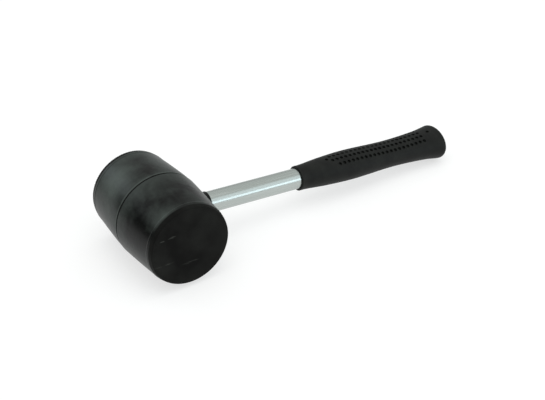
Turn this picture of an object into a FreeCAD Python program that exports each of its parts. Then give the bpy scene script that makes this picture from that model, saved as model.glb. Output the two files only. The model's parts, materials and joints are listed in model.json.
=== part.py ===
import FreeCAD, Part
import Sketcher
import os

# Rubber mallet with a tubular steel handle.
#
# Each piece is drawn in the mallet's own axes, in millimetres: the origin is the centre of the head,
# X runs along the handle to the butt of the grip, and Y runs along the head from one striking face
# to the other. One placement, the same for every piece, then lays the mallet down: the head rests
# on its belt and the grip on the lower edge of its butt, both on the plane z = 0, and the origin is
# below the middle of the whole mallet.

doc = FreeCAD.newDocument("RubberMallet")

# Driving dimensions: alias, value, meaning.
SIZES = [
    ("belt_diameter", 68.0, "head across the belt, its widest place"),
    ("head_length", 91.2, "head from one striking face to the other"),
    ("side_taper", 2.8, "fall of the radius from the belt to where the face's edge begins"),
    ("edge_taper", 1.2, "fall of the radius from there to the flat striking face"),
    ("edge_length", 5.6, "length of that edge, along the head"),
    ("side_crown_radius", 1000.0, "bulge of the head's side"),
    ("edge_crown_radius", 16.0, "bulge of the striking face's edge"),
    ("face_corner_radius", 0.8, "rounding between the edge and the flat face"),
    ("seam_width", 1.7, "parting seam at the belt"),
    ("seam_depth", 0.9, "parting seam at the belt"),
    ("collar_wall", 0.5, "moulded collar round the handle, outside the tube"),
    ("collar_height", 5.3, "collar above the belt"),
    ("collar_rim_radius", 0.4, "rounding of the collar's outer rim"),
    ("socket_floor", 14.0, "rubber left behind the blind socket"),
    ("tube_diameter", 16.0, "steel tube, outside"),
    ("tube_wall", 1.2, "steel tube"),
    ("bare_tube_length", 78.0, "tube seen between the collar and the grip"),
    ("plug_flange_thickness", 2.0, "flange of each plug, over the tube's end"),
    ("head_plug_length", 26.0, "plug inside the tube, at the head"),
    ("butt_plug_length", 12.0, "plug inside the tube, at the butt"),
    ("plug_tip_chamfer", 1.0, "lead-in at the tip of each plug"),
    ("grip_length", 135.3, "grip from its mouth to the end of its butt"),
    ("mouth_wall", 1.65, "grip's wall at its mouth and neck"),
    ("neck_length", 5.0, "round neck behind the mouth"),
    ("shoulder_from_mouth", 24.0, "place of the shoulder section"),
    ("shoulder_wall", 2.65, "wall above and below the tube at the shoulder"),
    ("shoulder_side_extra", 1.5, "half-width at the shoulder, more than the half-height"),
    ("belly_from_mouth", 48.0, "place of the belly, the thickest place for the fingers"),
    ("belly_wall", 3.05, "wall above and below the tube at the belly"),
    ("belly_side_extra", 2.7, "half-width at the belly, more than the half-height"),
    ("waist_from_butt", 48.0, "place of the waist"),
    ("waist_wall", 2.05, "wall above and below the tube at the waist"),
    ("waist_side_extra", 2.6, "half-width at the waist, more than the half-height"),
    ("flare_from_butt", 17.0, "place of the flare section"),
    ("flare_wall", 3.2, "wall above and below the tube at the flare"),
    ("flare_side_extra", 3.1, "half-width at the flare, more than the half-height"),
    ("butt_wall", 4.9, "wall above and below the tube at the butt"),
    ("butt_side_extra", 3.5, "half-width at the butt, more than the half-height"),
    ("butt_edge_radius", 2.9, "rounding of the butt's edge"),
    ("butt_floor", 9.0, "rubber between the butt plug and the end of the butt"),
]

sheet = doc.addObject("Spreadsheet::Sheet", "Sizes")
for row, (alias, value, meaning) in enumerate(SIZES, start=1):
    sheet.set(f"A{row}", meaning)
    sheet.set(f"B{row}", str(value))
    sheet.setAlias(f"B{row}", alias)
doc.recompute()

# Formulas of the sheet that more than one piece uses.
BELT_RADIUS = "Sizes.belt_diameter / 2"
TUBE_RADIUS = "Sizes.tube_diameter / 2"
BORE_RADIUS = "(Sizes.tube_diameter / 2 - Sizes.tube_wall)"
SOCKET_BOTTOM = "(Sizes.socket_floor - Sizes.belt_diameter / 2)"
COLLAR_END = "(Sizes.belt_diameter / 2 + Sizes.collar_height)"
MOUTH = f"({COLLAR_END} + Sizes.bare_tube_length)"
BUTT_END = f"({MOUTH} + Sizes.grip_length)"
GRIP_BORE_END = f"({BUTT_END} - Sizes.butt_floor)"
TUBE_START = f"({SOCKET_BOTTOM} + Sizes.plug_flange_thickness)"
TUBE_END = f"({GRIP_BORE_END} - Sizes.plug_flange_thickness)"

# The belt is a circle of BELT_RADIUS about the origin, and the butt's lower edge is an arc of
# butt_edge_radius about a point EDGE_REACH along the handle and EDGE_DROP below it. The mallet
# turns about Y until both touch one level plane.
EDGE_REACH = f"({BUTT_END} - Sizes.butt_edge_radius)"
EDGE_DROP = f"({TUBE_RADIUS} + Sizes.butt_wall - Sizes.butt_edge_radius)"
LIE_ANGLE = (
    f"(asin(({BELT_RADIUS} - Sizes.butt_edge_radius) / hypot({EDGE_REACH}; {EDGE_DROP}))"
    f" - atan({EDGE_DROP} / {EDGE_REACH}))"
)
FURTHEST_X = (
    f"({EDGE_REACH} * cos({LIE_ANGLE}) + {EDGE_DROP} * sin({LIE_ANGLE}) + Sizes.butt_edge_radius)"
)
LYING_DOWN = (
    f"placement(vector(({BELT_RADIUS} - {FURTHEST_X}) / 2; 0; {BELT_RADIUS});"
    f" rotation(vector(0; 1; 0); {LIE_ANGLE}))"
)

# Sketcher's names for the sketch's own origin and axes, and for the ends of an edge.
ORIGIN = -1
X_AXIS = -1
Y_AXIS = -2
START, END, CENTRE = 1, 2, 3

ALONG_HANDLE = FreeCAD.Vector(1, 0, 0)
ALONG_HEAD = FreeCAD.Vector(0, 1, 0)

# Two places closer than this, in millimetres, are the same place.
SAME_PLACE = 0.001


def value_of(formula):
    """The present value of a formula of the sheet, in millimetres."""
    return float(sheet.evalExpression(formula))


def bind(sketch, constraint, name, formula):
    """Add a dimension to a sketch and tie it to a formula of the sheet."""
    index = sketch.addConstraint(constraint)
    sketch.renameConstraint(index, name)
    sketch.setExpression(f"Constraints.{name}", formula)


def new_body(label):
    body = doc.addObject("PartDesign::Body", label)
    body.Label = label
    return body


def origin_plane(body, role):
    return next(item for item in body.Origin.OriginFeatures if item.Role == role)


def new_sketch(body, name, role, along_x="0", above_plane="0"):
    """A sketch on one of the body's origin planes, moved along its own x or off the plane."""
    sketch = body.newObject("Sketcher::SketchObject", name)
    sketch.AttachmentSupport = (origin_plane(body, role), [""])
    sketch.MapMode = "FlatFace"
    if along_x != "0":
        sketch.setExpression("AttachmentOffset.Base.x", along_x)
    if above_plane != "0":
        sketch.setExpression("AttachmentOffset.Base.z", above_plane)
    return sketch


def pin_end(sketch, edge, end, name, x, y):
    """Hold one end of an edge at the formulas x and y of the sheet."""
    for kind, formula, axis in (("DistanceX", x, Y_AXIS), ("DistanceY", y, X_AXIS)):
        if formula == "0":
            sketch.addConstraint(Sketcher.Constraint("PointOnObject", edge, end, axis))
        else:
            constraint = Sketcher.Constraint(kind, ORIGIN, START, edge, end, value_of(formula))
            bind(sketch, constraint, f"{name}_{kind[-1].lower()}", formula)


def draw_outline(sketch, corners):
    """A closed outline drawn anticlockwise.

    Each corner is a name, its x and y, and the radius of the arc that leads to the next corner, or
    None for a straight side. The arcs bulge outwards.
    """
    places = [FreeCAD.Vector(value_of(x), value_of(y), 0) for _, x, y, _ in corners]
    for index, (name, x, y, bulge) in enumerate(corners):
        first = places[index]
        last = places[(index + 1) % len(corners)]
        if bulge is None:
            sketch.addGeometry(Part.LineSegment(first, last), False)
        else:
            chord = last - first
            rise = chord.Length ** 2 / (8 * value_of(bulge))
            outwards = FreeCAD.Vector(chord.y, -chord.x, 0).normalize()
            middle = (first + last) * 0.5 + outwards * rise
            sketch.addGeometry(Part.Arc(first, middle, last), False)
            bind(sketch, Sketcher.Constraint("Radius", index, value_of(bulge)), f"{name}_bulge", bulge)
        pin_end(sketch, index, START, name, x, y)
    for index in range(len(corners)):
        following = (index + 1) % len(corners)
        sketch.addConstraint(Sketcher.Constraint("Coincident", index, END, following, START))


def draw_circle(sketch, name, radius):
    circle = Part.Circle(FreeCAD.Vector(0, 0, 0), FreeCAD.Vector(0, 0, 1), value_of(radius))
    edge = sketch.addGeometry(circle, False)
    sketch.addConstraint(Sketcher.Constraint("Coincident", edge, CENTRE, ORIGIN, START))
    bind(sketch, Sketcher.Constraint("Radius", edge, value_of(radius)), name, radius)


def draw_oval(sketch, name, half_width, half_height):
    """An ellipse about the sketch's origin, wider along the sketch's x."""
    width_end = FreeCAD.Vector(value_of(half_width), 0, 0)
    height_end = FreeCAD.Vector(0, value_of(half_height), 0)
    oval = sketch.addGeometry(Part.Ellipse(width_end, height_end, FreeCAD.Vector(0, 0, 0)), False)
    sketch.exposeInternalGeometry(oval)
    long_axis, short_axis = oval + 1, oval + 2
    sketch.addConstraint(Sketcher.Constraint("Coincident", oval, CENTRE, ORIGIN, START))
    sketch.addConstraint(Sketcher.Constraint("Horizontal", long_axis))
    for axis, size, formula in ((long_axis, "width", half_width), (short_axis, "height", half_height)):
        full = f"2 * ({formula})"
        constraint = Sketcher.Constraint("Distance", axis, value_of(full))
        bind(sketch, constraint, f"{name}_{size}", full)


def revolve(body, kind, name, sketch, axis):
    """A Revolution or a Groove, right round the sketch's H_Axis or V_Axis."""
    feature = body.newObject(f"PartDesign::{kind}", name)
    feature.Profile = sketch
    feature.ReferenceAxis = (sketch, [axis])
    feature.Angle = 360.0
    return feature


def round_edges(body, name, base, edges, radius):
    """A fillet on the given edges of the body's last feature."""
    names = [f"Edge{i + 1}" for i, edge in enumerate(base.Shape.Edges) if edges(edge)]
    fillet = body.newObject("PartDesign::Fillet", name)
    fillet.Base = (base, names)
    fillet.setExpression("Radius", radius)
    return fillet


def is_circle(edge, radius, axis, place):
    """True for a circle of this radius, centred on an axis at this place along it."""
    if not isinstance(edge.Curve, Part.Circle):
        return False
    off_centre = (edge.Curve.Center - axis * value_of(place)).Length
    return abs(edge.Curve.Radius - value_of(radius)) < SAME_PLACE and off_centre < SAME_PLACE


def check_change(name, change):
    """A cut takes material away and a pad adds some, so neither leaves the volume as it was."""
    if change <= 0:
        raise RuntimeError(f"{name} changes nothing")


# Head: one moulding of rubber, two crowned cones that meet at the belt. The tube's blind socket
# enters through a low collar on the +X side.
def make_head():
    body = new_body("mallet_head")

    half = new_sketch(body, "head_half_profile", "XY_Plane")
    half_length = "Sizes.head_length / 2"
    face_radius = f"{BELT_RADIUS} - Sizes.side_taper - Sizes.edge_taper"
    draw_outline(half, [
        ("middle", "0", "0", None),
        ("belt", BELT_RADIUS, "0", "Sizes.side_crown_radius"),
        ("edge_start", f"{BELT_RADIUS} - Sizes.side_taper", f"{half_length} - Sizes.edge_length",
         "Sizes.edge_crown_radius"),
        ("face_rim", face_radius, half_length, None),
        ("face_middle", "0", half_length, None),
    ])
    head_half = revolve(body, "Revolution", "head_half", half, "V_Axis")

    both_halves = body.newObject("PartDesign::Mirrored", "head_both_halves")
    both_halves.Originals = [head_half]
    both_halves.MirrorPlane = (origin_plane(body, "XZ_Plane"), [""])
    body.Tip = both_halves
    doc.recompute()

    seam_profile = new_sketch(body, "seam_profile", "XY_Plane")
    draw_outline(seam_profile, [
        ("seam_root", f"{BELT_RADIUS} - Sizes.seam_depth", "0", None),
        ("seam_lower", f"{BELT_RADIUS} + Sizes.seam_depth", "-Sizes.seam_width", None),
        ("seam_upper", f"{BELT_RADIUS} + Sizes.seam_depth", "Sizes.seam_width", None),
    ])
    seam = revolve(body, "Groove", "parting_seam", seam_profile, "V_Axis")
    doc.recompute()

    corners = round_edges(
        body, "face_corner_rounds", seam,
        lambda edge: is_circle(edge, face_radius, ALONG_HEAD, half_length)
        or is_circle(edge, face_radius, ALONG_HEAD, f"-{half_length}"),
        "Sizes.face_corner_radius")
    doc.recompute()

    collar_radius = f"{TUBE_RADIUS} + Sizes.collar_wall"
    collar_circle = new_sketch(body, "collar_circle", "YZ_Plane")
    draw_circle(collar_circle, "collar_radius", collar_radius)
    collar = body.newObject("PartDesign::Pad", "collar")
    collar.Profile = collar_circle
    collar.setExpression("Length", COLLAR_END)
    doc.recompute()

    rim = round_edges(
        body, "collar_rim_round", collar,
        lambda edge: is_circle(edge, collar_radius, ALONG_HANDLE, COLLAR_END),
        "Sizes.collar_rim_radius")
    doc.recompute()

    socket_circle = new_sketch(body, "socket_circle", "YZ_Plane", above_plane=SOCKET_BOTTOM)
    draw_circle(socket_circle, "socket_radius", TUBE_RADIUS)
    socket = body.newObject("PartDesign::Pocket", "handle_socket")
    socket.Profile = socket_circle
    socket.Type = "ThroughAll"
    socket.Reversed = True
    doc.recompute()

    check_change("parting_seam", both_halves.Shape.Volume - seam.Shape.Volume)
    check_change("collar", collar.Shape.Volume - corners.Shape.Volume)
    check_change("handle_socket", rim.Shape.Volume - socket.Shape.Volume)
    return body


# Handle: a plain length of steel tube from the flange of the head plug to that of the butt plug.
def make_tube():
    body = new_body("handle_tube")
    rings = new_sketch(body, "tube_section", "YZ_Plane", above_plane=TUBE_START)
    draw_circle(rings, "outside_radius", TUBE_RADIUS)
    draw_circle(rings, "inside_radius", BORE_RADIUS)
    pad = body.newObject("PartDesign::Pad", "tube_length")
    pad.Profile = rings
    pad.setExpression("Length", f"{TUBE_END} - {TUBE_START}")
    return body


# Plugs: each one closes an end of the tube. The flange lies over the tube's end and is as wide as
# the tube, and the shank is driven into the bore.
def make_head_plug():
    body = new_body("head_end_plug")
    profile = new_sketch(body, "head_plug_profile", "XY_Plane", along_x=SOCKET_BOTTOM)
    shank_end = "Sizes.plug_flange_thickness + Sizes.head_plug_length"
    draw_outline(profile, [
        ("flange_middle", "0", "0", None),
        ("tip_middle", shank_end, "0", None),
        ("tip_rim", shank_end, f"{BORE_RADIUS} - Sizes.plug_tip_chamfer", None),
        ("shank_tip", f"{shank_end} - Sizes.plug_tip_chamfer", BORE_RADIUS, None),
        ("shank_root", "Sizes.plug_flange_thickness", BORE_RADIUS, None),
        ("flange_inner_rim", "Sizes.plug_flange_thickness", TUBE_RADIUS, None),
        ("flange_outer_rim", "0", TUBE_RADIUS, None),
    ])
    revolve(body, "Revolution", "head_plug_turned", profile, "H_Axis")
    return body


def make_butt_plug():
    body = new_body("butt_end_plug")
    tip_place = f"{TUBE_END} - Sizes.butt_plug_length"
    profile = new_sketch(body, "butt_plug_profile", "XY_Plane", along_x=tip_place)
    flange_end = "Sizes.butt_plug_length + Sizes.plug_flange_thickness"
    draw_outline(profile, [
        ("tip_middle", "0", "0", None),
        ("flange_middle", flange_end, "0", None),
        ("flange_outer_rim", flange_end, TUBE_RADIUS, None),
        ("flange_inner_rim", "Sizes.butt_plug_length", TUBE_RADIUS, None),
        ("shank_root", "Sizes.butt_plug_length", BORE_RADIUS, None),
        ("shank_tip", "Sizes.plug_tip_chamfer", BORE_RADIUS, None),
        ("tip_rim", "0", f"{BORE_RADIUS} - Sizes.plug_tip_chamfer", None),
    ])
    revolve(body, "Revolution", "butt_plug_turned", profile, "H_Axis")
    return body


# Turns, in degrees, at which sections follow the quarter circle of the butt's edge.
BUTT_EDGE_TURNS = (30, 60, 90)


def add_loft(body, name, sections):
    loft = body.newObject("PartDesign::AdditiveLoft", name)
    loft.Profile = sections[0]
    loft.Sections = sections[1:]
    return loft


# Grip: a rubber sleeve pulled over the tube. Its sections grow from a round mouth to ovals, wider
# along Y, with a belly, a waist and a flared butt that is closed.
def make_grip():
    body = new_body("grip_sleeve")

    neck_radius = f"{TUBE_RADIUS} + Sizes.mouth_wall"
    sections = []
    for name, place in (("mouth", MOUTH), ("neck", f"{MOUTH} + Sizes.neck_length")):
        section = new_sketch(body, f"{name}_section", "YZ_Plane", above_plane=place)
        draw_circle(section, f"{name}_radius", neck_radius)
        sections.append(section)

    for name, place in (
        ("shoulder", f"{MOUTH} + Sizes.shoulder_from_mouth"),
        ("belly", f"{MOUTH} + Sizes.belly_from_mouth"),
        ("waist", f"{BUTT_END} - Sizes.waist_from_butt"),
        ("flare", f"{BUTT_END} - Sizes.flare_from_butt"),
        ("butt", f"{BUTT_END} - Sizes.butt_edge_radius"),
    ):
        section = new_sketch(body, f"{name}_section", "YZ_Plane", above_plane=place)
        half_height = f"{TUBE_RADIUS} + Sizes.{name}_wall"
        draw_oval(section, name, f"{half_height} + Sizes.{name}_side_extra", half_height)
        sections.append(section)
    add_loft(body, "grip_outside", sections)

    edge_sections = [sections[-1]]
    for turn in BUTT_EDGE_TURNS:
        name = f"butt_edge_{turn}"
        place = f"{BUTT_END} - Sizes.butt_edge_radius * (1 - sin({turn} deg))"
        section = new_sketch(body, f"{name}_section", "YZ_Plane", above_plane=place)
        half_height = f"{TUBE_RADIUS} + Sizes.butt_wall - Sizes.butt_edge_radius * (1 - cos({turn} deg))"
        draw_oval(section, name, f"{half_height} + Sizes.butt_side_extra", half_height)
        edge_sections.append(section)
    closed_end = add_loft(body, "butt_edge_round", edge_sections)
    doc.recompute()

    bore_circle = new_sketch(body, "bore_circle", "YZ_Plane", above_plane=GRIP_BORE_END)
    draw_circle(bore_circle, "bore_radius", TUBE_RADIUS)
    bore = body.newObject("PartDesign::Pocket", "grip_bore")
    bore.Profile = bore_circle
    bore.Type = "ThroughAll"
    doc.recompute()

    check_change("grip_bore", closed_end.Shape.Volume - bore.Shape.Volume)
    return body


pieces = [make_head(), make_head_plug(), make_tube(), make_butt_plug(), make_grip()]
for piece in pieces:
    piece.setExpression("Placement", LYING_DOWN)
doc.recompute()

for item in doc.Objects:
    if "Invalid" in item.State or "Error" in item.State:
        raise RuntimeError(f"{item.Name} failed: {item.State}")
for piece in pieces:
    if piece.Shape.isNull() or not piece.Shape.isValid() or len(piece.Shape.Solids) != 1:
        raise RuntimeError(f"{piece.Label} isn't one valid solid")

os.makedirs("parts", exist_ok=True)
for piece in pieces:
    piece.Shape.exportStep(f"parts/{piece.Label}.step")
    box = piece.Shape.BoundBox
    print(f"{piece.Label}: {piece.Shape.Volume / 1000:.2f} cm3, x {box.XMin:.2f} to {box.XMax:.2f},"
          f" y {box.YMin:.2f} to {box.YMax:.2f}, z {box.ZMin:.2f} to {box.ZMax:.2f}")
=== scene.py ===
import json
import math

import bpy
from mathutils import Matrix, Vector


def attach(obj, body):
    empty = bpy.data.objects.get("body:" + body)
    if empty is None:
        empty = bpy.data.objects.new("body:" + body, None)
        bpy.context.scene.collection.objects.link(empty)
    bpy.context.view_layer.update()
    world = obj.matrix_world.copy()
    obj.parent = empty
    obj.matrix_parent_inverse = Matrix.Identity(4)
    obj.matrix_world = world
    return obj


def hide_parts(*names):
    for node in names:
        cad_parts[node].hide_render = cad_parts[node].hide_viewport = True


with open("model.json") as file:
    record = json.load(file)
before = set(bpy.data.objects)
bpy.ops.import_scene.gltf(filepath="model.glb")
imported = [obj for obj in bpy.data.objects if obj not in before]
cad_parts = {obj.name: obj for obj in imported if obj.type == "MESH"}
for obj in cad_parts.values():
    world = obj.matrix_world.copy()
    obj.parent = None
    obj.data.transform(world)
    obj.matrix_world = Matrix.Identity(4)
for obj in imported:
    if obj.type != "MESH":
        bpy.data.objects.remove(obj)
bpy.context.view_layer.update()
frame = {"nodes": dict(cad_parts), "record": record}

# The mallet's own axes, which every piece is drawn in: the origin is the centre of the head, X runs
# along the handle to the butt, Y along the head, and Z is square to both. MALLET lays them in the
# frame. All lengths are in metres, and sizes given in millimetres are multiplied by MM.
MM = 0.001
MOUNTS = {mount["name"]: mount for mount in frame["record"]["mounts"]}
HANDLE = Vector(MOUNTS["hand_grip"]["axis"]).normalized()
ACROSS = Vector(MOUNTS["striking_face_plus_y"]["axis"]).normalized()
UP = HANDLE.cross(ACROSS)
FACE_CENTRE = Vector(MOUNTS["striking_face_plus_y"]["pos_m"])
HEAD_CENTRE = FACE_CENTRE - ACROSS * FACE_CENTRE.dot(ACROSS)
MALLET = Matrix.Translation(HEAD_CENTRE) @ Matrix((HANDLE, ACROSS, UP)).transposed().to_4x4()

# Sizes that the frame gives. The head lies on the floor, so its centre is as high as the belt's radius.
BELT_RADIUS = HEAD_CENTRE.z
HALF_LENGTH = FACE_CENTRE.dot(ACROSS)
TUBE_RADIUS = MOUNTS["tube_clip"]["dims"]["r_mm"] * MM
BARE_LENGTH = MOUNTS["tube_clip"]["dims"]["length_mm"] * MM
GRIP_LENGTH = MOUNTS["hand_grip"]["dims"]["length_mm"] * MM
BARE_MIDDLE = (Vector(MOUNTS["tube_clip"]["pos_m"]) - HEAD_CENTRE).dot(HANDLE)
COLLAR_END = BARE_MIDDLE - BARE_LENGTH / 2
MOUTH = BARE_MIDDLE + BARE_LENGTH / 2
BUTT_END = MOUTH + GRIP_LENGTH

# The drawn surfaces stay this much inside the frame's box.
CLEARANCE = 0.03 * MM

# Edges sharper than this between two faces are kept crisp, and the rest are shaded smooth.
CRISP_ANGLE = math.radians(38)

# Faces in one round of each piece.
HEAD_SEGMENTS = 256
COLLAR_SEGMENTS = 128
TUBE_SEGMENTS = 160
GRIP_SEGMENTS = 192

# Head.
SIDE_TAPER = 2.8 * MM
EDGE_TAPER = 1.2 * MM
EDGE_LENGTH = 5.6 * MM
SIDE_CROWN_RADIUS = 1000 * MM
EDGE_CROWN_RADIUS = 16 * MM
FACE_CORNER_RADIUS = 0.8 * MM
COLLAR_WALL = 0.5 * MM
COLLAR_ROOT_RADIUS = 0.9 * MM
COLLAR_RIM_RADIUS = 0.35 * MM
SOCKET_FLOOR = 14 * MM
SOCKET_LEAD_IN = 0.25 * MM
CUTTER_SPARE = 2 * MM

# Parting seam at the belt, from the front half to the back half: distance along the head, and drop
# of the surface. The front half ends in a crisp lip. The back half starts a little lower, and comes
# back up to the crowned side over the length of the step.
SEAM_OUTLINE = [
    (-1.25 * MM, 0), (-0.99 * MM, 0.02 * MM), (-0.89 * MM, 0.12 * MM), (-0.8 * MM, 0.5 * MM),
    (0.6 * MM, 0.65 * MM), (0.8 * MM, 0.46 * MM), (1.0 * MM, 0.33 * MM), (1.3 * MM, 0.26 * MM),
    (1.65 * MM, 0.24 * MM)]
BACK_STEP_LENGTH = 9 * MM

# The matt, dark rubber: on each striking face and its edge, and down in the seam, where it is painted
# shade.
RUBBED_EDGE = 3.4 * MM
SHADED_SEAM_HALF_WIDTH = 0.85 * MM
SEAM_SHADE_DROP = 0.45 * MM

# Bead that the mould leaves where the side turns into the face's edge.
BEAD_HEIGHT = 0.18 * MM
BEAD_HALF_WIDTH = 0.3 * MM

# Where the head's side is painted lighter, as painted highlights drawn as thicker cloudy bloom, and where
# it is painted darker, as painted shade drawn as bloom rubbed thin: middle, reach, and change of the bloom,
# which runs from 0, bare, to 1, thick.
BLOOM_AND_PAINTED_LIGHT_PLACES = [
    (Vector((-23, 24, 22)) * MM, 25 * MM, 0.6),
    (Vector((-19, -41, 24)) * MM, 17 * MM, 0.5),
    (Vector((-29, -28, 12)) * MM, 30 * MM, -0.6),
    (Vector((-31, 8, 13)) * MM, 13 * MM, -0.15),
    (Vector((-6, 13, 32)) * MM, 18 * MM, -0.3),
    (Vector((-3, 30, 32)) * MM, 14 * MM, -0.25),
    (Vector((2, -26, 32)) * MM, 28 * MM, -0.4),
]

# A painted highlight, drawn as a line of thicker bloom on the back half, along the edge of the seam.
SEAM_EDGE_HIGHLIGHT_PLACE = SEAM_OUTLINE[-1][0]
SEAM_EDGE_HIGHLIGHT_HALF_WIDTH = 0.9 * MM
SEAM_EDGE_HIGHLIGHT_CHANGE = 0.45

# Pale scuffs on each striking face: place across and up, half length, tilt and strength.
SCUFF_HALF_WIDTH = 0.9 * MM
SCUFFS = [
    (-22 * MM, 9.7 * MM, 2.4 * MM, math.radians(-6), 1.0),
    (-14.5 * MM, 11 * MM, 4 * MM, math.radians(-6), 0.6),
    (4.5 * MM, 11.5 * MM, 4.5 * MM, math.radians(-5), 0.3),
    (0 * MM, -13 * MM, 8 * MM, math.radians(-5), 0.4),
    (-16 * MM, -9.5 * MM, 5 * MM, math.radians(-5), 0.22),
    (-25 * MM, -10 * MM, 4 * MM, math.radians(-3), 0.2),
]

# Tube and plugs.
TUBE_WALL = 1.2 * MM
TUBE_BROKEN_EDGE = 0.2 * MM
FLANGE_THICKNESS = 2 * MM
BUTT_FLOOR = 9 * MM

# Grip: at each station, the distance from the mouth and the wall over the tube, above and beside.
BUTT_EDGE_RADIUS = 2.9 * MM
GRIP_STATIONS = [
    (0 * MM, 1.65 * MM, 1.65 * MM),
    (5 * MM, 1.65 * MM, 1.65 * MM),
    (24 * MM, 2.65 * MM, 4.15 * MM),
    (48 * MM, 3.05 * MM, 5.75 * MM),
    (GRIP_LENGTH - 48 * MM, 2.05 * MM, 4.65 * MM),
    (GRIP_LENGTH - 17 * MM, 3.2 * MM, 6.3 * MM),
    (GRIP_LENGTH - BUTT_EDGE_RADIUS, 4.9 * MM, 8.4 * MM),
]
MOUTH_RIM_RADIUS = 0.5 * MM
MOUTH_LEAD_IN = 0.3 * MM

# Dimples in the grip: a grid of four rows, with a tapered end towards the mouth. Each has a rim that
# is wider than its diameter and a floor that is narrower, as shares of the diameter on the radius.
DIMPLE_DIAMETER = 2.9 * MM
DIMPLE_RIM_SHARE = 0.56
DIMPLE_FLOOR_SHARE = 0.4
DIMPLE_DEPTH = 1.4 * MM
DIMPLE_PITCH = 4.1 * MM
DIMPLE_ROW_SPACING = 4.9 * MM
DIMPLE_COLUMNS = 22
DIMPLE_ROWS = 4
DIMPLE_START = 30.3 * MM
SLEEVE_TURN = math.radians(7.5)

# The dimples are aimed at the sleeve from this far above and below the handle's axis.
AIM_HEIGHT = 30 * MM


def add_node(tree, kind, inputs=None, **settings):
    """Add a node. Each input is a value, an output socket, or a node, which stands for its first output."""
    made = tree.nodes.new(kind)
    for name, value in settings.items():
        setattr(made, name, value)
    for name, value in (inputs or {}).items():
        if isinstance(value, bpy.types.Node):
            value = value.outputs[0]
        if isinstance(value, bpy.types.NodeSocket):
            tree.links.new(value, made.inputs[name])
        else:
            made.inputs[name].default_value = value
    return made


def linear(hex_colour):
    """An sRGB colour such as "1a1b1c" as linear red, green, blue and alpha."""
    channels = [int(hex_colour[i:i + 2], 16) / 255 for i in (0, 2, 4)]
    return [c / 12.92 if c <= 0.04045 else ((c + 0.055) / 1.055) ** 2.4 for c in channels] + [1]


# Camera -------------------------------------------------------------------------------------------
CAMERA_FROM_HEAD = Vector((-317.6, -662.2, 483.9)) * MM
CAMERA_AZIMUTH = math.radians(-31.95)
CAMERA_ELEVATION = math.radians(32.93)
CAMERA_ROLL = math.radians(-1.24)
CAMERA_LENS = 81.25


def make_camera():
    camera = bpy.data.objects.new("camera", bpy.data.cameras.new("camera"))
    bpy.context.scene.collection.objects.link(camera)
    bpy.context.scene.camera = camera
    camera.data.lens = CAMERA_LENS
    camera.data.dof.use_dof = False
    turn = Matrix.Rotation(CAMERA_AZIMUTH, 4, "Z")
    tilt = Matrix.Rotation(math.pi / 2 - CAMERA_ELEVATION, 4, "X")
    roll = Matrix.Rotation(CAMERA_ROLL, 4, "Z")
    camera.matrix_world = Matrix.Translation(HEAD_CENTRE + CAMERA_FROM_HEAD) @ turn @ tilt @ roll


# Studio -------------------------------------------------------------------------------------------
# Soft boxes: name, place, width, height, power and colour.
LIGHTS = [
    ("key", (-0.2, -0.3, 2.2), 1.8, 1.8, 14, "ffffff"),
    ("high_front", (0.72, -0.95, 0.85), 1.0, 0.6, 1.1, "e6f6ff"),
    ("low_front", (0.72, -1.2, 0.3), 1.0, 0.4, 2.7, "e6f6ff"),
    ("back_left", (-0.6, 1.3, 0.52), 0.6, 0.4, 1.8, "e8f4ff"),
]

# The floor is square. The lamp under it is whole near the mallet and fades with the distance.
FLOOR_HALF_SIDE = 6.0
LAMP_WHOLE, LAMP_WHOLE_REACH = 0.64, 0.7
LAMP_FADED, LAMP_FADED_REACH = 0.2, 3.0

# The black card: the feet of its left and right edges, and its height.
CARD_LEFT = (-1.2, 0.1)
CARD_RIGHT = (-0.6, 0.95)
CARD_HEIGHT = 0.45


def make_light(name, place, width, height, power, colour):
    """A soft box that faces the mallet. The camera doesn't see it, only what it lights."""
    data = bpy.data.lights.new(name, "AREA")
    data.shape = "RECTANGLE"
    data.size = width
    data.size_y = height
    data.energy = power
    data.color = linear(colour)[:3]
    light = bpy.data.objects.new(name, data)
    bpy.context.scene.collection.objects.link(light)
    light.location = place
    light.rotation_euler = (-Vector(place)).to_track_quat("-Z", "Y").to_euler()
    light.visible_camera = False


def make_world():
    """Soft white surroundings, brighter overhead."""
    world = bpy.data.worlds.new("studio")
    bpy.context.scene.world = world
    world.use_nodes = True
    tree = world.node_tree
    way = add_node(tree, "ShaderNodeTexCoord").outputs["Generated"]
    height = add_node(tree, "ShaderNodeSeparateXYZ", {"Vector": way}).outputs["Z"]
    shade = add_node(tree, "ShaderNodeValToRGB", {"Fac": height})
    shade.color_ramp.elements[0].color = linear("b9bbbb")
    shade.color_ramp.elements[1].position = 0.6
    shade.color_ramp.elements[1].color = linear("e4e7e5")
    tree.links.new(shade.outputs["Color"], tree.nodes["Background"].inputs["Color"])


def make_stage_piece(name, corners, material):
    """A flat sheet that belongs to the studio, not to the mallet."""
    mesh = bpy.data.meshes.new(name)
    mesh.from_pydata(corners, [], [range(len(corners))])
    mesh.materials.append(material)
    sheet = bpy.data.objects.new(name, mesh)
    bpy.context.scene.collection.objects.link(sheet)
    return sheet


def make_studio():
    bpy.context.scene.view_settings.view_transform = "Standard"
    make_world()
    for light in LIGHTS:
        make_light(*light)

    half = FLOOR_HALF_SIDE
    make_stage_piece("floor", [(-half, -half, 0), (half, -half, 0), (half, half, 0), (-half, half, 0)],
                     make_light_table())

    # The black card stands to the left of the head, low down. Only the gloss of the rubber and the
    # steel shows it.
    corners = [(*CARD_LEFT, 0), (*CARD_RIGHT, 0), (*CARD_RIGHT, CARD_HEIGHT), (*CARD_LEFT, CARD_HEIGHT)]
    card = make_stage_piece("black_card", corners, make_black_velvet())
    card.visible_camera = False
    card.visible_diffuse = False
    card.visible_shadow = False


# Materials ----------------------------------------------------------------------------------------
def new_material(name):
    material = bpy.data.materials.new(name)
    material.use_nodes = True
    return material, material.node_tree, material.node_tree.nodes["Principled BSDF"]


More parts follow.
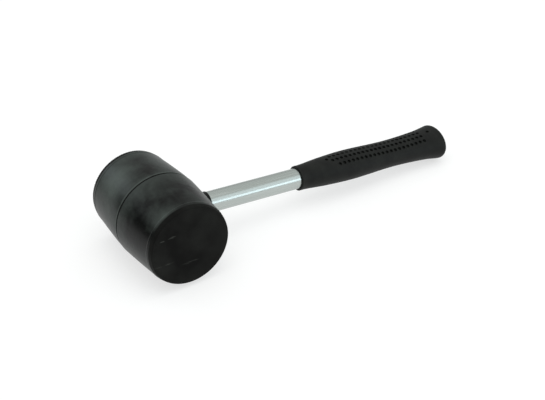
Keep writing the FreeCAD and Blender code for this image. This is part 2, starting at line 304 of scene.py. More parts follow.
def make_light_table():
    """White acrylic with a lamp under its middle, so the mallet's shadow is soft and pale."""
    material, tree, shader = new_material("light_table_acrylic")
    shader.inputs["Base Color"].default_value = linear("a8a8a8")
    shader.inputs["Roughness"].default_value = 0.9
    shader.inputs["Specular IOR Level"].default_value = 0.0
    shader.inputs["Emission Color"].default_value = linear("ffffff")
    place = add_node(tree, "ShaderNodeTexCoord").outputs["Object"]
    away = add_node(tree, "ShaderNodeVectorMath", {0: place}, operation="LENGTH")
    lamp = add_node(tree, "ShaderNodeMapRange", {
        "Value": away.outputs["Value"], "From Min": LAMP_WHOLE_REACH, "From Max": LAMP_FADED_REACH,
        "To Min": LAMP_WHOLE, "To Max": LAMP_FADED})
    tree.links.new(lamp.outputs["Result"], shader.inputs["Emission Strength"])
    return material


def make_black_velvet():
    """Black velvet, which swallows the light: a dark shape for the gloss to mirror."""
    material, _, shader = new_material("black_velvet")
    shader.inputs["Base Color"].default_value = linear("050505")
    shader.inputs["Roughness"].default_value = 1.0
    shader.inputs["Specular IOR Level"].default_value = 0.0
    return material


def mallet_axes(tree):
    """Object coordinates turned into the mallet's own axes."""
    place = add_node(tree, "ShaderNodeTexCoord").outputs["Object"]
    turned = add_node(tree, "ShaderNodeMapping", {
        "Vector": place, "Location": HEAD_CENTRE, "Rotation": MALLET.to_euler()}, vector_type="TEXTURE")
    return turned.outputs["Vector"]


def make_side_rubber():
    """Natural rubber moulded in black, under a thin bloom of wax: a cool grey haze over deep black, with
    painted highlights and painted shade in places.
    """
    material, tree, shader = new_material("moulded_black_rubber")
    place = mallet_axes(tree)

    # The bloom lies in clouds some 18 mm across, with a mottle of 3 mm and faint streaks along the head.
    clouds = add_node(tree, "ShaderNodeTexNoise", {
        "Vector": place, "Scale": 1 / (18 * MM), "Detail": 2, "Roughness": 0.5, "Distortion": 0.6})
    mottle = add_node(tree, "ShaderNodeTexNoise", {"Vector": place, "Scale": 1 / (3 * MM), "Detail": 3})
    along_head = add_node(tree, "ShaderNodeMapping", {
        "Vector": place, "Scale": (1 / (3 * MM), 1 / (14 * MM), 1 / (3 * MM))})
    streaks = add_node(tree, "ShaderNodeTexNoise", {"Vector": along_head, "Scale": 1, "Detail": 2})
    uneven = 0.0
    for pattern, share in ((clouds, 0.7), (mottle, 0.15), (streaks, 0.15)):
        uneven = add_node(tree, "ShaderNodeMath", {
            0: pattern, 1: share, 2: uneven}, operation="MULTIPLY_ADD")
    bloom = add_node(tree, "ShaderNodeMapRange", {
        "Value": uneven, "From Min": 0.3, "From Max": 0.7, "To Min": 0.11, "To Max": 0.62})
    # The places add painted highlights and painted shade to the bloom.
    for middle, reach, change in BLOOM_AND_PAINTED_LIGHT_PLACES:
        away = add_node(tree, "ShaderNodeVectorMath", {0: place, 1: middle}, operation="DISTANCE")
        near = add_node(tree, "ShaderNodeMapRange", {
            "Value": away.outputs["Value"], "From Min": 0.0, "From Max": reach, "To Min": change,
            "To Max": 0.0}, interpolation_type="SMOOTHSTEP")
        bloom = add_node(tree, "ShaderNodeMath", {0: bloom, 1: near}, operation="ADD")
    where = add_node(tree, "ShaderNodeSeparateXYZ", {"Vector": place})
    # A painted highlight: a pale line of bloom along the back edge of the seam.
    from_line = add_node(tree, "ShaderNodeMath", {
        0: where.outputs["Y"], 1: SEAM_EDGE_HIGHLIGHT_PLACE}, operation="SUBTRACT")
    off_line = add_node(tree, "ShaderNodeMath", {0: from_line}, operation="ABSOLUTE")
    line = add_node(tree, "ShaderNodeMapRange", {
        "Value": off_line, "From Min": 0.0, "From Max": SEAM_EDGE_HIGHLIGHT_HALF_WIDTH,
        "To Min": SEAM_EDGE_HIGHLIGHT_CHANGE, "To Max": 0.0}, interpolation_type="SMOOTHSTEP")
    bloom = add_node(tree, "ShaderNodeMath", {0: bloom, 1: line}, operation="ADD")
    bloom = add_node(tree, "ShaderNodeClamp", {"Value": bloom})

    # None of it stays on the collar or at the edge of a face, and little under the head, where its fading
    # is painted shade that darkens the side towards the bottom.
    along = add_node(tree, "ShaderNodeMath", {0: where.outputs["Y"]}, operation="ABSOLUTE")
    side_length = HALF_LENGTH - EDGE_LENGTH
    for value, gone, whole in (
            (where.outputs["X"], BELT_RADIUS + 0.8 * MM, BELT_RADIUS - 0.5 * MM),
            (along, side_length + 3 * MM, side_length),
            (where.outputs["Z"], -30 * MM, 10 * MM)):
        kept = add_node(tree, "ShaderNodeMapRange", {
            "Value": value, "From Min": gone, "From Max": whole}, interpolation_type="SMOOTHSTEP")
        bloom = add_node(tree, "ShaderNodeMath", {0: bloom, 1: kept}, operation="MULTIPLY")

    tone = add_node(tree, "ShaderNodeValToRGB", {"Fac": bloom})
    tone.color_ramp.elements[0].color = linear("030403")
    tone.color_ramp.elements[1].color = linear("464d49")
    tree.links.new(tone.outputs["Color"], shader.inputs["Base Color"])
    dullness = add_node(tree, "ShaderNodeMapRange", {
        "Value": bloom, "From Min": 0.0, "From Max": 1.0, "To Min": 0.34, "To Max": 0.46})
    tree.links.new(dullness.outputs["Result"], shader.inputs["Roughness"])
    shader.inputs["IOR"].default_value = 1.5
    shader.inputs["Specular IOR Level"].default_value = 0.15

    # The mould's fine grain, really about 0.1 mm and drawn at 0.6 mm so that it shows, and the slow
    # waves that rubber shrinks into as it cools.
    grain = add_node(tree, "ShaderNodeTexNoise", {"Vector": place, "Scale": 1 / (0.6 * MM), "Detail": 2})
    waves = add_node(tree, "ShaderNodeTexNoise", {"Vector": place, "Scale": 1 / (7 * MM), "Detail": 2})
    fine = add_node(tree, "ShaderNodeBump", {"Height": grain, "Strength": 1.0, "Distance": 0.015 * MM})
    relief = add_node(tree, "ShaderNodeBump", {
        "Height": waves, "Strength": 1.0, "Distance": 0.15 * MM, "Normal": fine})
    tree.links.new(relief.outputs["Normal"], shader.inputs["Normal"])
    return material


def make_face_rubber():
    """The same rubber where blows have rubbed the bloom off: matt and darker, with a few pale scuffs. In
    the seam it is painted shade.
    """
    material, tree, shader = new_material("scuffed_black_rubber")
    place = mallet_axes(tree)
    wear = add_node(tree, "ShaderNodeTexNoise", {"Vector": place, "Scale": 1 / (22 * MM), "Detail": 3})
    across = add_node(tree, "ShaderNodeMapping", {
        "Vector": place, "Scale": (1 / (7 * MM), 1, 1 / (0.8 * MM))})
    scratches = add_node(tree, "ShaderNodeTexNoise", {"Vector": across, "Scale": 1, "Detail": 2})
    broken = add_node(tree, "ShaderNodeMapRange", {"Value": scratches, "From Min": 0.45, "From Max": 0.62})
    amount = add_node(tree, "ShaderNodeMapRange", {
        "Value": wear, "From Min": 0.35, "From Max": 0.7, "To Min": 0.0, "To Max": 0.08})
    for x, z, half_length, tilt, strength in SCUFFS:
        beside = add_node(tree, "ShaderNodeMapping", {
            "Vector": place, "Location": (x, 0, z), "Rotation": (0, tilt, 0),
            "Scale": (half_length, 1, SCUFF_HALF_WIDTH)}, vector_type="TEXTURE")
        level = add_node(tree, "ShaderNodeVectorMath", {0: beside, 1: (1, 0, 1)}, operation="MULTIPLY")
        away = add_node(tree, "ShaderNodeVectorMath", {0: level}, operation="LENGTH")
        near = add_node(tree, "ShaderNodeMapRange", {
            "Value": away.outputs["Value"], "From Min": 0.2, "From Max": 1.0, "To Min": strength,
            "To Max": 0.0}, interpolation_type="SMOOTHSTEP")
        amount = add_node(tree, "ShaderNodeMath", {0: near, 1: broken, 2: amount}, operation="MULTIPLY_ADD")
    tone = add_node(tree, "ShaderNodeValToRGB", {"Fac": amount})
    tone.color_ramp.elements[0].color = linear("050504")
    tone.color_ramp.elements[1].color = linear("5a5d58")
    tree.links.new(tone.outputs["Color"], shader.inputs["Base Color"])
    grain = add_node(tree, "ShaderNodeTexNoise", {"Vector": place, "Scale": 1 / (0.8 * MM), "Detail": 3})
    relief = add_node(tree, "ShaderNodeBump", {"Height": grain, "Strength": 1.0, "Distance": 0.05 * MM})
    tree.links.new(relief.outputs["Normal"], shader.inputs["Normal"])
    shader.inputs["Roughness"].default_value = 0.62
    shader.inputs["IOR"].default_value = 1.5
    shader.inputs["Specular IOR Level"].default_value = 0.08
    return material


def make_grip_rubber():
    """Softer rubber, moulded in black with a fine texture: even and matt, with hardly any gloss."""
    material, tree, shader = new_material("textured_black_rubber")
    place = mallet_axes(tree)
    clouds = add_node(tree, "ShaderNodeTexNoise", {"Vector": place, "Scale": 1 / (11 * MM), "Detail": 4})
    tone = add_node(tree, "ShaderNodeValToRGB", {"Fac": clouds})
    tone.color_ramp.elements[0].position = 0.35
    tone.color_ramp.elements[0].color = linear("080908")
    tone.color_ramp.elements[1].position = 0.7
    tone.color_ramp.elements[1].color = linear("161815")
    tree.links.new(tone.outputs["Color"], shader.inputs["Base Color"])

    # The texture's grains are about 0.2 mm, drawn at 0.7 mm so that they show.
    grain = add_node(tree, "ShaderNodeTexNoise", {"Vector": place, "Scale": 1 / (0.7 * MM), "Detail": 2})
    relief = add_node(tree, "ShaderNodeBump", {"Height": grain, "Strength": 1.0, "Distance": 0.04 * MM})
    tree.links.new(relief.outputs["Normal"], shader.inputs["Normal"])
    shader.inputs["Roughness"].default_value = 0.58
    shader.inputs["IOR"].default_value = 1.5
    shader.inputs["Specular IOR Level"].default_value = 0.2
    return material


def make_zinc_steel():
    """Drawn steel tube under bright zinc plating: a cool satin mirror, with faint lines along it."""
    material, tree, shader = new_material("bright_zinc_plated_steel")
    place = mallet_axes(tree)

    # The die leaves lines some 0.1 mm apart, drawn at 0.5 mm so that they show.
    along_tube = add_node(tree, "ShaderNodeMapping", {
        "Vector": place, "Scale": (1 / (40 * MM), 1 / (0.5 * MM), 1 / (0.5 * MM))})
    lines = add_node(tree, "ShaderNodeTexNoise", {"Vector": along_tube, "Scale": 1, "Detail": 3})
    polish = add_node(tree, "ShaderNodeMapRange", {
        "Value": lines, "From Min": 0.3, "From Max": 0.7, "To Min": 0.18, "To Max": 0.3})
    tree.links.new(polish.outputs["Result"], shader.inputs["Roughness"])
    tone = add_node(tree, "ShaderNodeValToRGB", {"Fac": lines})
    tone.color_ramp.elements[0].position = 0.3
    tone.color_ramp.elements[0].color = linear("acb2af")
    tone.color_ramp.elements[1].position = 0.7
    tone.color_ramp.elements[1].color = linear("b7bdba")
    tree.links.new(tone.outputs["Color"], shader.inputs["Base Color"])
    shader.inputs["Metallic"].default_value = 1
    return material


def make_plug_plastic():
    """Polypropylene moulded in black: even, slightly greasy to the eye, with faint flow marks."""
    material, tree, shader = new_material("black_polypropylene")
    place = mallet_axes(tree)
    flow = add_node(tree, "ShaderNodeTexNoise", {"Vector": place, "Scale": 1 / (3 * MM), "Detail": 3})
    tone = add_node(tree, "ShaderNodeValToRGB", {"Fac": flow})
    tone.color_ramp.elements[0].color = linear("202122")
    tone.color_ramp.elements[1].color = linear("2c2d2e")
    tree.links.new(tone.outputs["Color"], shader.inputs["Base Color"])
    grain = add_node(tree, "ShaderNodeTexNoise", {"Vector": place, "Scale": 1 / (0.4 * MM), "Detail": 2})
    relief = add_node(tree, "ShaderNodeBump", {"Height": grain, "Strength": 1.0, "Distance": 0.01 * MM})
    tree.links.new(relief.outputs["Normal"], shader.inputs["Normal"])
    shader.inputs["Roughness"].default_value = 0.45
    shader.inputs["IOR"].default_value = 1.49
    return material


# Shapes -------------------------------------------------------------------------------------------
def bowed(first, last, radius, steps):
    """Points from first to last along a flat arc of this radius, which bows to the right of the way."""
    chord = last - first
    rise = chord.length_squared / (8 * radius)
    outwards = Vector((chord.y, -chord.x)).normalized()
    shares = (i / steps for i in range(steps + 1))
    return [first + chord * t + outwards * (4 * rise * t * (1 - t)) for t in shares]


def rounded(before, corner, after, radius, steps):
    """Points of an arc of this radius in the corner between two straight ways."""
    back = (before - corner).normalized()
    on = (after - corner).normalized()
    half_angle = back.angle(on) / 2
    centre = corner + (back + on).normalized() * (radius / math.sin(half_angle))
    start = corner + back * (radius / math.tan(half_angle))
    end = corner + on * (radius / math.tan(half_angle))
    points = []
    for i in range(steps + 1):
        spoke = (start - centre).lerp(end - centre, i / steps)
        points.append(centre + spoke.normalized() * radius)
    return points


def closed_rings(name, rings):
    """A closed mesh from rings of points in order. A ring of one point closes an end."""
    points = [Vector(p) for ring in rings for p in ring]
    starts = [sum(len(ring) for ring in rings[:i]) for i in range(len(rings))]
    faces = []
    for i in range(len(rings) - 1):
        here, there = rings[i], rings[i + 1]
        count = max(len(here), len(there))
        for j in range(count):
            k = (j + 1) % count
            if len(here) == 1:
                faces.append((starts[i], starts[i + 1] + k, starts[i + 1] + j))
            elif len(there) == 1:
                faces.append((starts[i] + j, starts[i] + k, starts[i + 1]))
            else:
                faces.append((starts[i] + j, starts[i] + k, starts[i + 1] + k, starts[i + 1] + j))
    mesh = bpy.data.meshes.new(name)
    mesh.from_pydata(points, [], faces)
    mesh.validate()
    piece = bpy.data.objects.new(name, mesh)
    bpy.context.scene.collection.objects.link(piece)
    return piece


def circle_x(place, radius, segments):
    """A ring round the handle's axis, or one point where the radius is nothing."""
    if radius == 0:
        return [(place, 0, 0)]
    turns = (2 * math.pi * i / segments for i in range(segments))
    return [(place, radius * math.cos(a), radius * math.sin(a)) for a in turns]


def circle_y(place, radius, segments):
    """A ring round the head's axis, or one point where the radius is nothing."""
    if radius == 0:
        return [(0, place, 0)]
    turns = (2 * math.pi * i / segments for i in range(segments))
    return [(radius * math.sin(a), place, radius * math.cos(a)) for a in turns]


def bake_modifiers(piece):
    """Turn the piece's evaluated shape into its own plain mesh and drop its modifiers."""
    depsgraph = bpy.context.evaluated_depsgraph_get()
    depsgraph.update()
    mesh = bpy.data.meshes.new_from_object(piece.evaluated_get(depsgraph))
    piece.modifiers.clear()
    piece.data = mesh


def combine(piece, other, operation):
    """Join the other closed mesh to the piece, or cut it away, and drop the other."""
    modifier = piece.modifiers.new("combine", "BOOLEAN")
    modifier.operation = operation
    modifier.solver = "EXACT"
    modifier.object = other
    bake_modifiers(piece)
    bpy.data.objects.remove(other)


def finish_piece(piece, material, node):
    """Lay the piece in the frame, shade it, and let it stand for its CAD node."""
    piece.data.transform(MALLET)
    piece.data.materials.clear()
    piece.data.materials.append(material)
    piece.data.polygons.foreach_set("material_index", [0] * len(piece.data.polygons))
    piece.data.polygons.foreach_set("use_smooth", [True] * len(piece.data.polygons))
    piece.data.set_sharp_from_angle(angle=CRISP_ANGLE)
    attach(piece, "root")
    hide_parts(node)


# Head ---------------------------------------------------------------------------------------------
def side_radius(y):
    """The radius of the head's crowned side at a distance along the head from the belt."""
    side_length = HALF_LENGTH - EDGE_LENGTH
    t = min(abs(y) / side_length, 1)
    rise = (side_length ** 2 + SIDE_TAPER ** 2) / (8 * SIDE_CROWN_RADIUS)
    return BELT_RADIUS - CLEARANCE - SIDE_TAPER * t + 4 * rise * t * (1 - t)


def lip_and_step(y):
    """How far the surface lies below the crowned side, near the seam."""
    outline = SEAM_OUTLINE
    if y <= outline[0][0]:
        return 0
    if y >= outline[-1][0]:
        return outline[-1][1] * (1 - min((y - outline[-1][0]) / BACK_STEP_LENGTH, 1)) ** 2
    i = max(j for j in range(len(outline)) if outline[j][0] <= y)
    t = (y - outline[i][0]) / (outline[i + 1][0] - outline[i][0])
    return outline[i][1] + (outline[i + 1][1] - outline[i][1]) * t


def end_profile():
    """Radius and distance along the head, from the end of a side to the middle of its face."""
    side_length = HALF_LENGTH - EDGE_LENGTH
    edge_start = Vector((BELT_RADIUS - SIDE_TAPER, side_length))
    face_rim = Vector((BELT_RADIUS - SIDE_TAPER - EDGE_TAPER, HALF_LENGTH))
    face_middle = Vector((0, HALF_LENGTH))
    edge_steps, corner_steps, face_steps = 8, 6, 12
    edge = bowed(edge_start, face_rim, EDGE_CROWN_RADIUS, edge_steps)
    profile = edge[1:-1] + rounded(edge[-2], face_rim, face_middle, FACE_CORNER_RADIUS, corner_steps)
    face_radius = profile[-1].x
    profile += [Vector((face_radius * (1 - i / face_steps), HALF_LENGTH)) for i in range(1, face_steps)]
    profile.append(face_middle)
    return profile


def head_profile():
    """Radius and distance along the head, from the middle of one face to the middle of the other."""
    side_length = HALF_LENGTH - EDGE_LENGTH
    seam_start, seam_end = SEAM_OUTLINE[0][0], SEAM_OUTLINE[-1][0]
    steps = 40
    places = [-side_length + (seam_start + side_length) * i / steps for i in range(steps)]
    places += [y for y, drop in SEAM_OUTLINE]
    places += [seam_end + (side_length - seam_end) * i / steps for i in range(1, steps + 1)]
    bead_places = [side_length + step * BEAD_HALF_WIDTH for step in (-1.5, -1, -0.5)]
    places += [sign * y for sign in (-1, 1) for y in bead_places]
    side = []
    for y in sorted(places):
        bead = BEAD_HEIGHT * math.exp(-((abs(y) - side_length) / BEAD_HALF_WIDTH) ** 2)
        side.append(Vector((side_radius(y) - lip_and_step(y) + bead, y)))
    end = end_profile()
    return [Vector((p.x, -p.y)) for p in reversed(end)] + side + end


def make_head():
    head = closed_rings("rubber_head", [circle_y(p.y, p.x, HEAD_SEGMENTS) for p in head_profile()])
    combine(head, make_collar(), "UNION")
    combine(head, make_socket_cutter(), "DIFFERENCE")
    return head


def make_collar():
    """The collar with its root fillet, which follows the head's curved side."""
    radius = TUBE_RADIUS + COLLAR_WALL
    turns = [2 * math.pi * i / COLLAR_SEGMENTS for i in range(COLLAR_SEGMENTS)]

    def ring(at_radius, lift):
        points = []
        for a in turns:
            y, z = at_radius * math.cos(a), at_radius * math.sin(a)
            points.append((math.sqrt(side_radius(y) ** 2 - z ** 2) + lift, y, z))
        return points

    # It starts well inside the head, and its root comes out a hair below the side.
    root_radius = radius + COLLAR_ROOT_RADIUS
    inner_end = 0.5 * BELT_RADIUS
    rings = [circle_x(inner_end, r, COLLAR_SEGMENTS) for r in (0, root_radius)]
    rings.append(ring(root_radius, -0.03 * MM))
    root_steps, rim_steps = 8, 6
    for i in range(1, root_steps + 1):
        turn = math.pi / 2 * i / root_steps
        rings.append(ring(
            radius + COLLAR_ROOT_RADIUS * (1 - math.sin(turn)), COLLAR_ROOT_RADIUS * (1 - math.cos(turn))))
    for i in range(rim_steps + 1):
        turn = math.pi / 2 * i / rim_steps
        rings.append(circle_x(
            COLLAR_END - COLLAR_RIM_RADIUS * (1 - math.sin(turn)),
            radius - COLLAR_RIM_RADIUS * (1 - math.cos(turn)), COLLAR_SEGMENTS))
    rings.append(circle_x(COLLAR_END, 0, COLLAR_SEGMENTS))
    return closed_rings("collar", rings)


def make_socket_cutter():
    """The space that the tube's end and its plug fill, with a lead-in at the collar's mouth."""
    bottom = SOCKET_FLOOR - BELT_RADIUS
    top = COLLAR_END + CUTTER_SPARE
    places = [
        (bottom, 0), (bottom, TUBE_RADIUS), (COLLAR_END - SOCKET_LEAD_IN, TUBE_RADIUS),
        (COLLAR_END + SOCKET_LEAD_IN, TUBE_RADIUS + 2 * SOCKET_LEAD_IN), (top, TUBE_RADIUS), (top, 0)]
    return closed_rings("socket", [circle_x(x, r, COLLAR_SEGMENTS) for x, r in places])


# Tube ---------------------------------------------------------------------------------------------
def make_tube():
    start = SOCKET_FLOOR - BELT_RADIUS + FLANGE_THICKNESS
    end = BUTT_END - BUTT_FLOOR - FLANGE_THICKNESS
    bore = TUBE_RADIUS - TUBE_WALL
    edge = TUBE_BROKEN_EDGE
    places = [
        (start, bore), (start, TUBE_RADIUS - edge), (start + edge, TUBE_RADIUS),
        (end - edge, TUBE_RADIUS), (end, TUBE_RADIUS - edge), (end, bore), (start, bore)]
    return closed_rings("steel_tube", [circle_x(x, r, TUBE_SEGMENTS) for x, r in places])


# Grip ---------------------------------------------------------------------------------------------
def smooth_value(stations, column, place):
    """A value that runs smoothly through the stations, with the slope at each from its neighbours."""
    places = [s[0] for s in stations]
    values = [s[column] for s in stations]
    slopes = []
    for i in range(len(stations)):
        low, high = max(i - 1, 0), min(i + 1, len(stations) - 1)
        slopes.append((values[high] - values[low]) / (places[high] - places[low]))
    slopes[0] = 0
    i = max(j for j in range(len(stations) - 1) if places[j] <= place or j == 0)
    span = places[i + 1] - places[i]
    t = min((place - places[i]) / span, 1)
    ends = values[i] * (2 * t ** 3 - 3 * t ** 2 + 1) + values[i + 1] * (3 * t ** 2 - 2 * t ** 3)
    bends = slopes[i] * (t ** 3 - 2 * t ** 2 + t) + slopes[i + 1] * (t ** 3 - t ** 2)
    return ends + bends * span


def make_sleeve():
    """The grip before its dimples: outside from mouth to butt, and back down its bore."""
    skin = TUBE_RADIUS - CLEARANCE

    def oval(place, half_height, half_width):
        turns = (2 * math.pi * i / GRIP_SEGMENTS for i in range(GRIP_SEGMENTS))
        return [(MOUTH + place, half_width * math.cos(a), half_height * math.sin(a)) for a in turns]

    bore_steps, mouth_steps, side_steps, butt_steps = 20, 6, 190, 10
    bore_end = GRIP_LENGTH - BUTT_FLOOR
    rings = [[(MOUTH + bore_end, 0, 0)]]
    rings += [oval(bore_end * (1 - i / bore_steps), TUBE_RADIUS, TUBE_RADIUS) for i in range(bore_steps)]
    rings.append(oval(MOUTH_LEAD_IN, TUBE_RADIUS, TUBE_RADIUS))
    rings.append(oval(0, TUBE_RADIUS + MOUTH_LEAD_IN, TUBE_RADIUS + MOUTH_LEAD_IN))
    mouth_radius = skin + GRIP_STATIONS[0][1]
    for i in range(mouth_steps):
        turn = math.pi / 2 * i / mouth_steps
        radius = mouth_radius - MOUTH_RIM_RADIUS * (1 - math.sin(turn))
        rings.append(oval(MOUTH_RIM_RADIUS * (1 - math.cos(turn)), radius, radius))
    last = GRIP_STATIONS[-1][0]
    for i in range(side_steps + 1):
        place = MOUTH_RIM_RADIUS + (last - MOUTH_RIM_RADIUS) * i / side_steps
        half_height = skin + smooth_value(GRIP_STATIONS, 1, place)
        half_width = skin + smooth_value(GRIP_STATIONS, 2, place)
        rings.append(oval(place, half_height, half_width))
    half_height = skin + GRIP_STATIONS[-1][1]
    half_width = skin + GRIP_STATIONS[-1][2]
    for i in range(1, butt_steps + 1):
        turn = math.pi / 2 * i / butt_steps
        inset = BUTT_EDGE_RADIUS * (1 - math.cos(turn))
        place = last + BUTT_EDGE_RADIUS * math.sin(turn)
        rings.append(oval(place, half_height - inset, half_width - inset))
    for i in range(butt_steps - 1, 0, -1):
        share = i / butt_steps
        rings.append(oval(
            GRIP_LENGTH, (half_height - BUTT_EDGE_RADIUS) * share, (half_width - BUTT_EDGE_RADIUS) * share))
    rings.append([(MOUTH + GRIP_LENGTH, 0, 0)])
    return closed_rings("dimpled_grip", rings)


def dimple_tree(material):
    """Geometry nodes that press the dimples into the top and the underside of the sleeve."""
    tree = bpy.data.node_groups.new("moulded_dimples", "GeometryNodeTree")
    tree.interface.new_socket("Geometry", in_out="OUTPUT", socket_type="NodeSocketGeometry")
    tree.interface.new_socket("Geometry", in_out="INPUT", socket_type="NodeSocketGeometry")
    for name in ("Diameter", "Depth", "Pitch", "Row Spacing", "Start", "Turn"):
        tree.interface.new_socket(name, in_out="INPUT", socket_type="NodeSocketFloat")
    tree.interface.new_socket("Columns", in_out="INPUT", socket_type="NodeSocketInt")
    given = add_node(tree, "NodeGroupInput").outputs

    # The grid of dimples, without the two outer ones of its first column.
    gaps = add_node(tree, "ShaderNodeMath", {0: given["Columns"], 1: 1.0}, operation="SUBTRACT")
    length = add_node(tree, "ShaderNodeMath", {0: gaps, 1: given["Pitch"]}, operation="MULTIPLY")
    width = add_node(tree, "ShaderNodeMath", {
        0: given["Row Spacing"], 1: DIMPLE_ROWS - 1}, operation="MULTIPLY")
    grid = add_node(tree, "GeometryNodeMeshGrid", {
        "Size X": length, "Size Y": width, "Vertices X": given["Columns"], "Vertices Y": DIMPLE_ROWS})
    middle = add_node(tree, "ShaderNodeMath", {
        0: length, 1: 0.5, 2: given["Start"]}, operation="MULTIPLY_ADD")
    grid_place = add_node(tree, "ShaderNodeCombineXYZ", {"X": middle})
    moved = add_node(tree, "GeometryNodeTransform", {"Geometry": grid, "Translation": grid_place})
    where = add_node(tree, "ShaderNodeSeparateXYZ", {0: add_node(tree, "GeometryNodeInputPosition")})
    column_end = add_node(tree, "ShaderNodeMath", {
        0: given["Pitch"], 1: 0.5, 2: given["Start"]}, operation="MULTIPLY_ADD")
    first_column = add_node(tree, "ShaderNodeMath", {
        0: where.outputs["X"], 1: column_end}, operation="LESS_THAN")
    from_middle = add_node(tree, "ShaderNodeMath", {0: where.outputs["Y"]}, operation="ABSOLUTE")
    outer_row = add_node(tree, "ShaderNodeMath", {
        0: from_middle, 1: given["Row Spacing"]}, operation="GREATER_THAN")
    both = add_node(tree, "ShaderNodeMath", {0: first_column, 1: outer_row}, operation="MULTIPLY")
    tapered = add_node(tree, "GeometryNodeDeleteGeometry", {"Geometry": moved, "Selection": both})

    # One more dimple on the middle line at each end: a pitch before the first column, and two
    # pitches after the last.
    before = add_node(tree, "ShaderNodeMath", {0: given["Start"], 1: given["Pitch"]}, operation="SUBTRACT")
    last = add_node(tree, "ShaderNodeMath", {0: given["Start"], 1: length}, operation="ADD")
    after = add_node(tree, "ShaderNodeMath", {0: given["Pitch"], 1: 2.0, 2: last}, operation="MULTIPLY_ADD")
    near_end = add_node(tree, "ShaderNodeCombineXYZ", {"X": before})
    far_end = add_node(tree, "ShaderNodeCombineXYZ", {"X": after})
    span = add_node(tree, "ShaderNodeVectorMath", {0: far_end, 1: near_end}, operation="SUBTRACT")
    tips = add_node(tree, "GeometryNodeMeshLine", {"Count": 2, "Start Location": near_end, "Offset": span})
    pattern = add_node(tree, "GeometryNodeJoinGeometry", {"Geometry": tapered})
    tree.links.new(tips.outputs["Mesh"], pattern.inputs["Geometry"])

    # A tapered punch with a wide mouth, which gives each dimple a softened rim.
    rim_radius = add_node(tree, "ShaderNodeMath", {
        0: given["Diameter"], 1: DIMPLE_RIM_SHARE}, operation="MULTIPLY")
    floor_radius = add_node(tree, "ShaderNodeMath", {
        0: given["Diameter"], 1: DIMPLE_FLOOR_SHARE}, operation="MULTIPLY")
    height = add_node(tree, "ShaderNodeMath", {0: given["Depth"], 1: 2.0}, operation="MULTIPLY")
    punch = add_node(tree, "GeometryNodeMeshCone", {
        "Vertices": 20, "Side Segments": 1, "Radius Top": rim_radius, "Radius Bottom": floor_radius,
        "Depth": height})
    down = add_node(tree, "ShaderNodeMath", {0: given["Depth"], 1: -1.0}, operation="MULTIPLY")
    sunk = add_node(tree, "ShaderNodeCombineXYZ", {"Z": down})
    centred = add_node(tree, "GeometryNodeTransform", {"Geometry": punch, "Translation": sunk})

    punches = add_node(tree, "GeometryNodeJoinGeometry")
    for side in (1, -1):
        outside = add_node(tree, "ShaderNodeCombineXYZ", {
            "X": where.outputs["X"], "Y": where.outputs["Y"], "Z": side * AIM_HEIGHT})
        source = add_node(tree, "ShaderNodeVectorRotate", {
            "Vector": outside.outputs[0], "Angle": given["Turn"]}, rotation_type="X_AXIS")
        inwards = add_node(tree, "ShaderNodeVectorRotate", {
            "Vector": (0, 0, -side), "Angle": given["Turn"]}, rotation_type="X_AXIS")
        hit = add_node(tree, "GeometryNodeRaycast", {
            "Target Geometry": given["Geometry"], "Source Position": source.outputs[0],
            "Ray Direction": inwards.outputs[0], "Ray Length": 2 * AIM_HEIGHT})
        upright = add_node(tree, "FunctionNodeAlignRotationToVector", {
            "Vector": hit.outputs["Hit Normal"]}, axis="Z")
        aimed = add_node(tree, "GeometryNodeStoreNamedAttribute", {
            "Geometry": pattern, "Name": "upright", "Value": upright},
            data_type="QUATERNION", domain="POINT")
        onto = add_node(tree, "GeometryNodeSetPosition", {
            "Geometry": aimed, "Position": hit.outputs["Hit Position"]})
        turn = add_node(tree, "GeometryNodeInputNamedAttribute", {
            "Name": "upright"}, data_type="QUATERNION")
        placed = add_node(tree, "GeometryNodeInstanceOnPoints", {
            "Points": onto, "Instance": centred, "Rotation": turn.outputs["Attribute"]})
        tree.links.new(placed.outputs["Instances"], punches.inputs["Geometry"])
    real_punches = add_node(tree, "GeometryNodeRealizeInstances", {"Geometry": punches})
    cut = add_node(tree, "GeometryNodeMeshBoolean", {
        "Mesh 1": given["Geometry"], "Mesh 2": real_punches}, operation="DIFFERENCE", solver="EXACT")
    realized = add_node(tree, "GeometryNodeRealizeInstances", {"Geometry": cut})
    painted = add_node(tree, "GeometryNodeSetMaterial", {"Geometry": realized, "Material": material})
    add_node(tree, "NodeGroupOutput", {"Geometry": painted})
    return tree


def press_dimples(sleeve, material):
    """Cut the dimples out of the sleeve, and leave it a plain mesh."""
    tree = dimple_tree(material)
    modifier = sleeve.modifiers.new("dimples", "NODES")
    modifier.node_group = tree
    sizes = {
        "Diameter": DIMPLE_DIAMETER, "Depth": DIMPLE_DEPTH, "Pitch": DIMPLE_PITCH,
        "Row Spacing": DIMPLE_ROW_SPACING, "Start": MOUTH + DIMPLE_START,
        "Turn": SLEEVE_TURN, "Columns": DIMPLE_COLUMNS}
    for item in tree.interface.items_tree:
        if item.in_out == "INPUT" and item.name in sizes:
            modifier[item.identifier] = sizes[item.name]
    bake_modifiers(sleeve)


# Assembly -----------------------------------------------------------------------------------------
def darken_faces_and_shade_seam(head):
    """Give the striking faces and their edges the rubbed, darker rubber, and paint shade into the bottom of
    the seam with it.
    """
    head.data.materials.append(make_face_rubber())
    for face in head.data.polygons:
        place = face.center - HEAD_CENTRE
        along_head = place.dot(ACROSS)
        from_axis = (place - ACROSS * along_head).length
        # Faces down in the seam get the darker rubber as painted shade.
        in_seam_shade = abs(along_head) < SHADED_SEAM_HALF_WIDTH and from_axis < BELT_RADIUS - SEAM_SHADE_DROP
        if abs(along_head) > HALF_LENGTH - RUBBED_EDGE or in_seam_shade:
            face.material_index = 1


make_camera()
make_studio()

head = make_head()
finish_piece(head, make_side_rubber(), "mallet_head")
darken_faces_and_shade_seam(head)

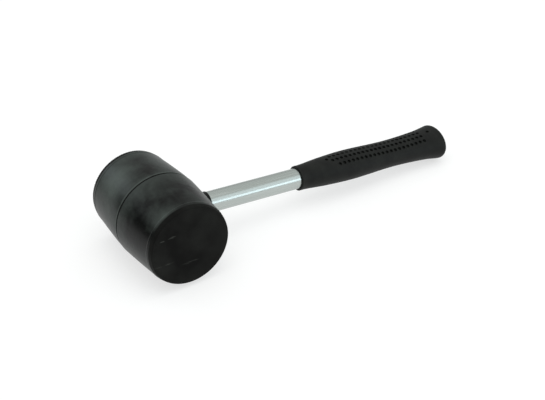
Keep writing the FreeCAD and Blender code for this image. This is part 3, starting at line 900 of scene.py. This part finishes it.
tube = make_tube()
finish_piece(tube, make_zinc_steel(), "handle_tube")

grip_rubber = make_grip_rubber()
grip = make_sleeve()
press_dimples(grip, grip_rubber)
finish_piece(grip, grip_rubber, "grip_sleeve")

# The plugs, hidden inside, keep the frame's own meshes.
plug_plastic = make_plug_plastic()
for node in ("head_end_plug", "butt_end_plug"):
    for slot in frame["nodes"][node].material_slots:
        slot.material = plug_plastic
